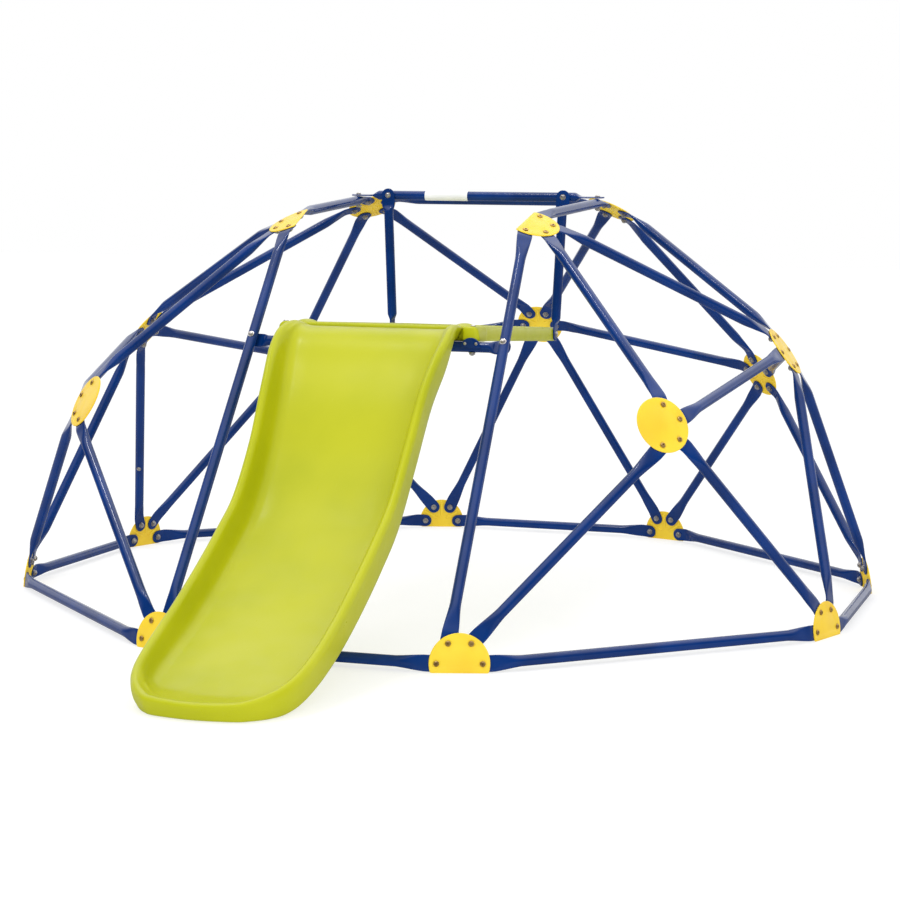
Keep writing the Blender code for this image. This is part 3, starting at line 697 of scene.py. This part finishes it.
# ---------------------------------------------------------------- frame pieces
HEAD_SINK = 0.0003                   # bolt heads sit this far into their dished seats
positions = hub_positions()
hubs = {name: Hub(name, positions) for name in positions}
ends = {pair: hub_ends(hubs[pair[0]], hubs[pair[1]]) for pair in BASE_RAILS + TUBES}

for pair in BASE_RAILS:
    bm = bmesh.new()
    pressed_tube(bm, *ends[pair])
    finish_piece("rail_%s_%s" % pair, bm, [blue], ["base_rail_%s_%s" % pair])
for pair in TUBES:
    bm = bmesh.new()
    pressed_tube(bm, *ends[pair])
    finish_piece("strut_%s_%s" % pair, bm, [blue], ["tube_%s_%s" % pair])

# the CAD joins each base plate to a rail, so only the other plates replace a node of their own
for name, hub in hubs.items():
    nodes = [] if name[0] == "B" else ["plate_" + name]
    finish_piece("hubplate_" + name, plate_mesh(hub), [yellow], nodes, 32.0)
    bm = bmesh.new()
    for other in hub.slots:
        root = hub.bolt_at(other)
        bolt_head(bm, root + hub.normal * (PLATE_T / 2.0 - HEAD_SINK), hub.normal, 0)
        inner = root - hub.normal * (PLATE_T / 2.0 + GAP + FLAT_T)
        washer_nut(bm, inner, -hub.normal, 1)
    finish_piece("fasteners_" + name, bm, [brassy, zinc])

# ---------------------------------------------------------------- bars and posts
SADDLE_EDGE = ((0.0108, 0.0), (0.0146, 0.0), (0.0153, -0.0006), (0.0155, -0.0015))
SADDLE_SIDES = 24
SADDLE_DROP = 0.002
SADDLE_BOLT_X = 0.0135               # bolts of a saddle, either side of its middle
SADDLE_BOLT_UP = 0.0085
SADDLE_BOLT_SIZE = 0.48
NUT_SINK = 0.0002                    # cross bar's dome nuts sit this far into the legs
SLEEVE_EDGE = ((-0.142, 0.0124), (-0.1418, 0.0130), (-0.141, 0.0131),
               (-0.023, 0.0131), (-0.0222, 0.0130), (-0.022, 0.0124))
SLEEVE_SIDES = 40
PLUG_SHARE = 0.68                    # small plug, this far down its leg
PLUG_SIZE = 0.8
PLUG_FACING = Vector((0.3, -1.0, 0.0))

top_a, top_b = ends[("T3", "T2")]
share = (HANGER_Y - top_a.bend.y) / (top_b.bend.y - top_a.bend.y)
hanger_hole = top_a.bend.lerp(top_b.bend, share)
hanger_up = square_to(top_b.bend - top_a.bend, UP)
leg_a, leg_b = ends[("T2", "B1")]
share = (CROSS_Z - leg_a.bend.z) / (leg_b.bend.z - leg_a.bend.z)
cross_hole = leg_a.bend.lerp(leg_b.bend, share)
cross_out = square_to(leg_b.bend - leg_a.bend, FORWARD)
clear = TUBE_R + GAP + FLAT_T / 2.0

cross_right = cross_hole - cross_out * clear
cross_left = mirrored(cross_right)
cross_l = TubeEnd(cross_left, mirrored(cross_out), cross_right, CROSS_BEND, SHORT_SWELL, CROSS_TIP)
cross_r = TubeEnd(cross_right, cross_out, cross_left, CROSS_BEND, SHORT_SWELL, CROSS_TIP)
cross_axis = cross_l.bend.lerp(cross_r.bend, 0.5)
deck_frame = Matrix.Translation(cross_axis) @ Matrix.Rotation(-DECK_TILT, 4, "X")
deck_up = (deck_frame.to_3x3() @ UP).normalized()
deck_low = TUBE_R + GAP
deck_top = deck_low + DECK_T


def add_saddle(bm, centre):
    """Half round plate that stands on the cross bar's front, facing forward."""
    rings = []
    for off, grow in SADDLE_EDGE:
        ring = []
        for i in range(SADDLE_SIDES + 1):
            a = math.pi * i / SADDLE_SIDES
            r = SADDLE_R + grow
            lift = max(math.sin(a) * r, -grow)
            ring.append(centre + SIDE * (r * math.cos(a)) + UP * lift + FORWARD * off)
        rings.append(ring)
    add_rings(bm, rings)


bm = bmesh.new()
pressed_tube(bm, cross_l, cross_r)
for sign in (-1.0, 1.0):
    add_saddle(bm, cross_axis + SIDE * sign * SADDLE_X - UP * SADDLE_DROP)
finish_piece("crossbar", bm, [blue], ["cross_bar"])

bm = bmesh.new()
saddle_face = SADDLE_EDGE[-1][0]
for sign, hole, out in ((1.0, cross_hole, cross_out),
                        (-1.0, mirrored(cross_hole), mirrored(cross_out))):
    dome_nut(bm, hole + out * (TUBE_R - NUT_SINK), out)
    washer_nut(bm, hole - out * (TUBE_R + GAP + FLAT_T), -out)
    for dx in (-SADDLE_BOLT_X, SADDLE_BOLT_X):
        spot = cross_axis + SIDE * (sign * SADDLE_X + dx)
        spot += UP * SADDLE_BOLT_UP + FORWARD * saddle_face
        dome_nut(bm, spot, FORWARD, size=SADDLE_BOLT_SIZE)
    washer_nut(bm, cross_axis + SIDE * sign * SLIDE_BOLT_X - UP * TUBE_R, -UP)
    washer_nut(bm, deck_frame @ Vector((sign * SADDLE_X, 0.0, -TUBE_R)), -deck_up)
    bolt_head(bm, deck_frame @ Vector((sign * SADDLE_X, 0.0, deck_top)), deck_up)
finish_piece("crossbar_bolts", bm, [zinc])

hanger_right = hanger_hole + hanger_up * clear
hanger_left = mirrored(hanger_right)
hanger_l = TubeEnd(hanger_left, mirrored(hanger_up), hanger_right, HANGER_BEND, SHORT_SWELL)
hanger_r = TubeEnd(hanger_right, hanger_up, hanger_left, HANGER_BEND, SHORT_SWELL)
hanger_axis = hanger_l.bend.lerp(hanger_r.bend, 0.5)
bm = bmesh.new()
pressed_tube(bm, hanger_l, hanger_r)
finish_piece("hangerbar", bm, [blue], ["hanger_bar"])

# plain film sleeve on the hanger bar
bm = bmesh.new()
add_rings(bm, [[hanger_axis + SIDE * x + FORWARD * a + UP * b for a, b in circle(r, SLEEVE_SIDES)]
               for x, r in SLEEVE_EDGE])
finish_piece("label_sleeve", bm, [film])

bolts = bmesh.new()
for sign, label in ((-1.0, "left"), (1.0, "right")):
    top = hanger_axis + SIDE * sign * POST_X + FORWARD * clear
    foot = deck_frame @ Vector((0.0, top.y - cross_axis.y, deck_top - POST_BOLT_DROP))
    foot = Vector((sign * (DECK_HALF + GAP + FLAT_T / 2.0), foot.y, foot.z))
    bm = bmesh.new()
    pressed_tube(bm, TubeEnd(top, FORWARD, foot, BEND_AT, SHORT_SWELL),
                 TubeEnd(foot, SIDE * sign, top, BEND_AT, SHORT_SWELL))
    finish_piece("hangerpost_" + label, bm, [blue], ["post_" + label])
    dome_nut(bolts, top + FORWARD * (FLAT_T / 2.0), FORWARD)
    washer_nut(bolts, hanger_axis + SIDE * sign * POST_X - FORWARD * TUBE_R, -FORWARD)
    dome_nut(bolts, foot + SIDE * sign * (FLAT_T / 2.0), SIDE * sign)
    up = hanger_up if sign > 0 else mirrored(hanger_up)
    hole = hanger_right if sign > 0 else hanger_left
    dome_nut(bolts, hole + up * (FLAT_T / 2.0), up)
    washer_nut(bolts, hole - up * (FLAT_T / 2.0 + GAP + 2.0 * TUBE_R), -up)
# small plug in the leg from M6 to B6
leg_top, leg_foot = ends[("M6", "B6")]
spot = leg_top.bend.lerp(leg_foot.bend, PLUG_SHARE)
out = square_to(leg_foot.bend - leg_top.bend, PLUG_FACING)
dome_nut(bolts, spot + out * (TUBE_R + GAP), out, size=PLUG_SIZE)
finish_piece("hanger_bolts", bolts, [zinc])


# ---------------------------------------------------------------- slide
STATION_STEPS = 8                    # fine rows between two stations
OUTLINE_STEPS = 10
FULL_RISE = 0.030                    # wall rise above the floor with the full rim rounding
LIP_IN = 0.016                       # from the outline to the inner side of the rim
TOE_SPREAD = 1.1                     # the inner side slopes more gently round the toe
TOE_SPREAD_FROM = -1.50
TOE_SPREAD_OVER = 0.14
FLOOR_SHARES = (0.2, 0.4, 0.6, 0.8)  # rows from the foot of the wall to the centre line


def spline(points, steps):
    """Catmull-Rom through tuples of numbers."""
    out = []
    last = len(points) - 1
    for i in range(last):
        p0, p1, p2 = points[max(i - 1, 0)], points[i], points[i + 1]
        p3 = points[min(i + 2, last)]
        for k in range(steps):
            t = k / steps
            out.append(tuple(0.5 * (2 * b + (c - a) * t + (2 * a - 5 * b + 4 * c - d) * t * t
                                    + (3 * b - a - 3 * c + d) * t ** 3)
                             for a, b, c, d in zip(p0, p1, p2, p3)))
    out.append(points[-1])
    return out


def interpolate(table, y, column):
    """Value of a column at y, from a fine table that runs with falling y."""
    lo, hi = 0, len(table) - 1
    if y >= table[0][0]:
        return table[0][column]
    if y <= table[-1][0]:
        return table[-1][column]
    while hi - lo > 1:
        mid = (lo + hi) // 2
        if table[mid][0] >= y:
            lo = mid
        else:
            hi = mid
    a, b = table[lo], table[hi]
    t = (y - a[0]) / (b[0] - a[0])
    return a[column] + (b[column] - a[column]) * t


fine = spline([row[:2] + row[3:] for row in SLIDE], STATION_STEPS)


def slide_base(y):
    """Height of the underside's centre line at y and the direction square to it."""
    z = interpolate(fine, y, 1)
    step = 0.006
    dz = interpolate(fine, y + step, 1) - interpolate(fine, y - step, 1)
    return z, Vector((0.0, -dz, 2.0 * step)).normalized()


def slide_profile(wall, floor):
    """(inset from the outline, height) from the underside over the rim to the floor."""
    rise = wall - floor
    soft = min(1.0, max(rise, 0.0) / FULL_RISE)
    knots = (
        (0.0230, 0.0), (0.0150, 0.0022), (0.0105, 0.0100),
        (0.0045, 0.0100 + (wall - 0.026 * soft - 0.008) * 0.5),
        (0.0006, wall - 0.016 * soft - 0.004), (0.0004, wall - 0.009 * soft - 0.002),
        (0.0036, wall - 0.0024 * soft - 0.001), (0.0095, wall), (LIP_IN, wall - 0.0022 * soft),
        (0.0215, wall - 0.0090 * soft), (0.0250, floor + rise * 0.62),
        (0.0290, floor + rise * 0.34), (0.0350, floor + rise * 0.15),
        (0.0440, floor + rise * 0.045), (0.0560, floor),
    )
    return spline(knots, 2)


def slide_outline():
    """Half outline from the cross bar to the toe's tip, smooth across the centre line."""
    half = [(row[0], row[2]) for row in SLIDE]
    past_tip = (half[-2][0], -half[-2][1])
    return spline(half + [past_tip], OUTLINE_STEPS)[:-OUTLINE_STEPS]


def slide_column(y, x):
    """Points (plan position, height) from the outline at y, x over the rim towards the middle."""
    target = Vector((0.0, max(y, TOE_FROM)))
    start = Vector((x, y))
    length = (target - start).length
    way = (target - start).normalized() if length > 1e-6 else Vector((0.0, 1.0))
    spread = 1.0 + TOE_SPREAD * smooth((TOE_SPREAD_FROM - y) / TOE_SPREAD_OVER)
    column = []
    for inset, height in slide_profile(interpolate(fine, y, 2), interpolate(fine, y, 3)):
        if inset > LIP_IN:
            inset = LIP_IN + (inset - LIP_IN) * spread
        column.append((start + way * min(inset, length), height))
    last = column[-1][0]
    for t in FLOOR_SHARES:
        p = last.lerp(target, t)
        column.append((p, interpolate(fine, p.y, 3)))
    return column


def slide_mesh():
    """Closed shell: both halves of the trough, its flat underside and the face at the deck."""
    bm = bmesh.new()
    side = slide_outline()
    count = len(side)
    columns = [slide_column(y, x) for y, x in side]
    rows = len(columns[0])

    def place(p, height, sign):
        z, up = slide_base(p.y)
        return Vector((p.x * sign, p.y, z)) + up * height

    grid = {}
    for sign in (1.0, -1.0):
        for i, column in enumerate(columns):
            for j, (p, height) in enumerate(column):
                if i == count - 1 and sign < 0:
                    grid[(sign, i, j)] = grid[(1.0, i, j)]
                else:
                    grid[(sign, i, j)] = bm.verts.new(place(p, height, sign))
    spine = []
    for y, x in side:
        if y >= TOE_FROM:
            z, up = slide_base(y)
            floor = interpolate(fine, y, 3)
            spine.append((bm.verts.new(Vector((0.0, y, z)) + up * floor),
                          bm.verts.new(Vector((0.0, y, z)))))
        else:
            spine.append(spine[-1])
    under = {}
    for sign in (1.0, -1.0):
        for i, column in enumerate(columns):
            if i == count - 1 and sign < 0:
                under[(sign, i)] = under[(1.0, i)]
                continue
            p = column[0][0]
            half_way = p.lerp(Vector((0.0, max(p.y, TOE_FROM))), 0.5)
            under[(sign, i)] = bm.verts.new(place(half_way, 0.0, sign))

    def face(*verts):
        unique = []
        for v in verts:
            if v not in unique:
                unique.append(v)
        if len(unique) > 2 and not bm.faces.get(unique):
            bm.faces.new(unique)

    for sign in (1.0, -1.0):
        for i in range(count - 1):
            for j in range(rows - 1):
                face(grid[(sign, i, j)], grid[(sign, i + 1, j)],
                     grid[(sign, i + 1, j + 1)], grid[(sign, i, j + 1)])
            face(grid[(sign, i, rows - 1)], grid[(sign, i + 1, rows - 1)],
                 spine[i + 1][0], spine[i][0])
            face(grid[(sign, i, 0)], under[(sign, i)], under[(sign, i + 1)],
                 grid[(sign, i + 1, 0)])
            face(under[(sign, i)], spine[i][1], spine[i + 1][1], under[(sign, i + 1)])
    end = [grid[(1.0, 0, j)] for j in range(rows)] + [spine[0][0]]
    end += [grid[(-1.0, 0, j)] for j in range(rows - 1, -1, -1)]
    end += [under[(-1.0, 0)], spine[0][1], under[(1.0, 0)]]
    bm.faces.new(end)
    bmesh.ops.remove_doubles(bm, verts=bm.verts, dist=0.00002)
    return bm


finish_piece("slide_shell", slide_mesh(), [lime], ["slide"], 50.0)


# ---------------------------------------------------------------- deck
CORNER_STEPS = 6
# the deck's outer side and the tray's wall as (inset, height)
DECK_EDGE = ((0.0075, 0.0), (0.0036, 0.0008), (0.0010, 0.0034), (0.0, 0.0080),
             (0.0, DECK_T - 0.0085), (0.0009, DECK_T - 0.0045), (0.0032, DECK_T - 0.0014),
             (0.0065, DECK_T))
POCKET_EDGE = ((-0.0030, 0.0), (-0.0012, -0.0006), (0.0, -0.0022), (0.0008, -0.0038),
               (0.0026, -DECK_POCKET))
POCKET_CORNER = 0.020
EAR_SOFT_IN = 0.012                  # ears lean in towards their tops from here outward
EAR_SOFT_LENGTH = 0.060
EAR_LEAN = 0.020
GRIP_EDGE = ((0.0, 0.0), (0.0006, 0.0008), (0.0018, 0.0014), (0.0034, 0.0016))
GRIP_RIBS = 11                       # anti-slip ribs along the tray's floor
GRIP_PITCH = 0.034
GRIP_HALF = 0.0070
GRIP_END = 0.030                     # ribs stop this far from the tray's ends
PAD_X = 0.200                        # low pad at each front corner: place, half sizes, height
PAD_Y = 0.050
PAD_HALF_X = 0.026
PAD_HALF_Y = 0.034
PAD_RISE = 0.0080
PAD_SINK = 0.0015
PAD_SHRINK = 0.86                    # from its foot to its last ring
PAD_CROWN = 2.4
PAD_RINGS = 8
PAD_SIDES = 40


def rounded(points, radii):
    """Round the corners of a polygon with quadratic curves."""
    out = []
    count = len(points)
    for i, p in enumerate(points):
        before = Vector(points[i - 1])
        here = Vector(p)
        after = Vector(points[(i + 1) % count])
        r = radii[i]
        a = here + (before - here).normalized() * min(r, (before - here).length * 0.49)
        b = here + (after - here).normalized() * min(r, (after - here).length * 0.49)
        for k in range(CORNER_STEPS + 1):
            t = k / CORNER_STEPS
            out.append(a * (1 - t) ** 2 + here * (2 * t * (1 - t)) + b * t * t)
    return out


def inset_loop(points, inset):
    """Move a closed loop in along its vertex normals."""
    out = []
    count = len(points)
    for i in range(count):
        a, p, b = points[i - 1], points[i], points[(i + 1) % count]
        n1 = Vector((p - a)).normalized()
        n2 = Vector((b - p)).normalized()
        t = (n1 + n2).normalized()
        out.append(p + Vector((-t.y, t.x)) * inset)
    return out


def on_deck(x, y, height):
    """Point at x, y over the deck's top, before the tilt."""
    return deck_frame @ Vector((x, y, deck_top + height))


def ear_point(x, y, height):
    """Point over the deck's underside; the ears' upper halves lean in."""
    soft = 0.0
    if abs(x) > DECK_EAR_IN + EAR_SOFT_IN:
        soft = max(0.0, 1.0 - max(y, 0.0) / EAR_SOFT_LENGTH)
    lean = math.copysign(soft * EAR_LEAN * max(height / DECK_T - 0.5, 0.0), x)
    return deck_frame @ Vector((x - lean, y, deck_low + height))


def deck_outline():
    """Outline from (corner, rounding) pairs of the right half, mirrored."""
    right = [
        ((DECK_EAR_IN, DECK_MID_FRONT), 0.006), ((DECK_EAR_IN, DECK_EAR_FRONT), 0.008),
        ((DECK_EAR_X, DECK_EAR_FRONT), 0.012), ((DECK_EAR_X, DECK_EAR_BACK), 0.016),
        ((DECK_HALF, DECK_TAPER), 0.030), ((DECK_HALF, DECK_BACK), 0.034),
    ]
    both = right + [((-p[0], p[1]), r) for p, r in right[::-1]]
    return rounded([p for p, r in both], [r for p, r in both])


def add_pad(bm, sign):
    """Low oval pad on the deck's front corner."""
    rings = []
    for k in range(PAD_RINGS + 1):
        spread = 1.0 - PAD_SHRINK * k / PAD_RINGS
        height = PAD_RISE * (1.0 - spread ** PAD_CROWN) - PAD_SINK
        rings.append([on_deck(sign * PAD_X + PAD_HALF_X * x, PAD_Y + PAD_HALF_Y * y, height)
                      for x, y in circle(spread, PAD_SIDES)])
    add_rings(bm, rings)


def deck_mesh():
    """Deck with a rounded edge and a shallow ribbed tray inside its rim."""
    bm = bmesh.new()
    outline = deck_outline()
    loops = bridged(bm, ear_point, [(inset_loop(outline, inset), h) for inset, h in DECK_EDGE])
    bm.faces.new(loops[0][::-1])
    inner = DECK_HALF - DECK_RIM
    near, far = DECK_MID_FRONT + DECK_RIM, DECK_BACK - DECK_RIM
    corners = [(inner, near), (inner, far), (-inner, far), (-inner, near)]
    tray = rounded(corners, [POCKET_CORNER] * len(corners))
    rings = bridged(bm, on_deck, [(inset_loop(tray, inset), h) for inset, h in POCKET_EDGE])
    fill_between(bm, closed_edges(bm, loops[-1]) + closed_edges(bm, rings[0]))
    floor_edges = closed_edges(bm, rings[-1])
    for k in range(GRIP_RIBS):
        shift = (k - GRIP_RIBS // 2) * GRIP_PITCH
        levels = []
        for inset, height in GRIP_EDGE:
            rib = stadium(math.pi / 2.0, near + GRIP_END, far - GRIP_END, GRIP_HALF - inset)
            levels.append(([(x + shift, y) for x, y in rib], height - DECK_POCKET))
        floor_edges += pressed_in(bm, on_deck, levels)
    fill_between(bm, floor_edges)
    for sign in (-1.0, 1.0):
        add_pad(bm, sign)
    return bm


finish_piece("deck_moulding", deck_mesh(), [lime], ["deck"], 42.0)

# ---------------------------------------------------------------- floor, light, camera
FLOOR_HALF = 30.0
FLOOR_GLOW = 0.62                    # keeps the floor white; not seen in reflections
FILL_LIGHT = 1.15                    # even light from the world


def add_floor():
    """Pale floor under the feet."""
    look = Nodes("studio_floor")
    tint = look.mix(look.noise(1.5, 2.0), (0.42, 0.42, 0.42), (0.46, 0.46, 0.46))
    look.link(tint, look.bsdf.inputs["Base Color"])
    look.set(Roughness=0.9, Specular_IOR_Level=0.1, Emission_Color=(1.0, 1.0, 1.0, 1.0))
    mirror = look.tree.nodes.new("ShaderNodeLightPath").outputs["Is Glossy Ray"]
    look.link(look.span(mirror, 0.0, 1.0, FLOOR_GLOW, 0.0), look.bsdf.inputs["Emission Strength"])
    corners = [(x * FLOOR_HALF, y * FLOOR_HALF, 0.0)
               for x, y in ((-1, -1), (1, -1), (1, 1), (-1, 1))]
    mesh = bpy.data.meshes.new("studio_floor")
    mesh.from_pydata(corners, [], [(0, 1, 2, 3)])
    mesh.materials.append(look.mat)
    ground = bpy.data.objects.new("studio_floor", mesh)
    ground.location.z = cad_box[0][2]
    bpy.context.scene.collection.objects.link(ground)


def set_world():
    """White for the camera, even fill on surfaces, and a gradient for reflections."""
    world = bpy.data.worlds.new("studio")
    world.use_nodes = True
    nodes = world.node_tree.nodes
    nodes.remove(nodes["Background"])
    link = world.node_tree.links.new

    def glow(grey, strength):
        node = nodes.new("ShaderNodeBackground")
        node.inputs["Color"].default_value = (grey, grey, grey, 1.0)
        node.inputs["Strength"].default_value = strength
        return node

    def ramp(value, low, high, to_low, to_high):
        node = nodes.new("ShaderNodeMapRange")
        node.interpolation_type = "SMOOTHSTEP"
        node.inputs["From Min"].default_value = low
        node.inputs["From Max"].default_value = high
        node.inputs["To Min"].default_value = to_low
        node.inputs["To Max"].default_value = to_high
        link(value, node.inputs["Value"])
        return node.outputs["Result"]

    def choose(factor, first, second):
        node = nodes.new("ShaderNodeMixShader")
        link(factor, node.inputs["Fac"])
        link(first, node.inputs[1])
        link(second, node.inputs[2])
        return node.outputs["Shader"]

    way = nodes.new("ShaderNodeSeparateXYZ")
    link(nodes.new("ShaderNodeTexCoord").outputs["Generated"], way.inputs["Vector"])
    total = nodes.new("ShaderNodeMath")
    link(ramp(way.outputs["Z"], 0.40, 0.95, 0.10, 2.40), total.inputs[0])
    link(ramp(way.outputs["Y"], 0.0, 0.6, 0.0, 1.3), total.inputs[1])
    shine = glow(0.8, 1.0)
    link(total.outputs["Value"], shine.inputs["Strength"])
    ray = nodes.new("ShaderNodeLightPath").outputs
    lit = choose(ray["Is Glossy Ray"], glow(0.8, FILL_LIGHT).outputs[0], shine.outputs[0])
    shown = choose(ray["Is Camera Ray"], lit, glow(1.0, 1.0).outputs[0])
    link(shown, nodes["World Output"].inputs["Surface"])
    bpy.context.scene.world = world


def area_light(name, place, target, size, power, gloss=True):
    """Round soft light; with gloss off it doesn't show in reflections."""
    data = bpy.data.lights.new(name, "AREA")
    data.shape = "DISK"
    data.size = size
    data.energy = power
    light = bpy.data.objects.new(name, data)
    light.location = place
    light.rotation_mode = "QUATERNION"
    light.rotation_quaternion = (Vector(target) - Vector(place)).to_track_quat("-Z", "Y")
    light.visible_glossy = gloss
    bpy.context.scene.collection.objects.link(light)


def set_camera():
    """Camera that looks at AIM from the stated angles."""
    back = Vector((math.sin(AZIMUTH) * math.cos(ELEVATION),
                   -math.cos(AZIMUTH) * math.cos(ELEVATION), math.sin(ELEVATION)))
    data = bpy.data.cameras.new("camera")
    data.sensor_width = 36.0
    data.lens = LENS
    data.shift_x, data.shift_y = LENS_SHIFT
    data.clip_end = 100.0
    camera = bpy.data.objects.new("camera", data)
    camera.location = AIM + back * DISTANCE
    camera.rotation_mode = "QUATERNION"
    turn = (-back).to_track_quat("-Z", "Y")
    camera.rotation_quaternion = turn @ Matrix.Rotation(ROLL, 4, "Z").to_quaternion()
    bpy.context.scene.collection.objects.link(camera)
    bpy.context.scene.camera = camera


# viewing angle of the reference view
AZIMUTH = math.radians(17.54)
ELEVATION = math.radians(6.30)
ROLL = math.radians(0.66)
DISTANCE = 6.0205
LENS = 91.43
LENS_SHIFT = (0.0029, 0.0004)
AIM = Vector((-0.0073, 0.2989, 0.3635))
LIT = (0.0, 0.0, 0.4)                # what the lights point at

add_floor()
set_world()
area_light("key", (-2.6, -4.6, 4.4), LIT, 2.0, 45.0, False)
area_light("fill", (4.5, -3.0, 2.6), LIT, 3.5, 45.0, False)
area_light("front", (1.4, -6.5, 1.9), LIT, 4.0, 55.0, False)
area_light("strip", (-0.9, -1.2, 5.0), LIT, 0.6, 30.0)
set_camera()
bpy.context.scene.view_settings.view_transform = "Standard"

bpy.context.view_layer.update()
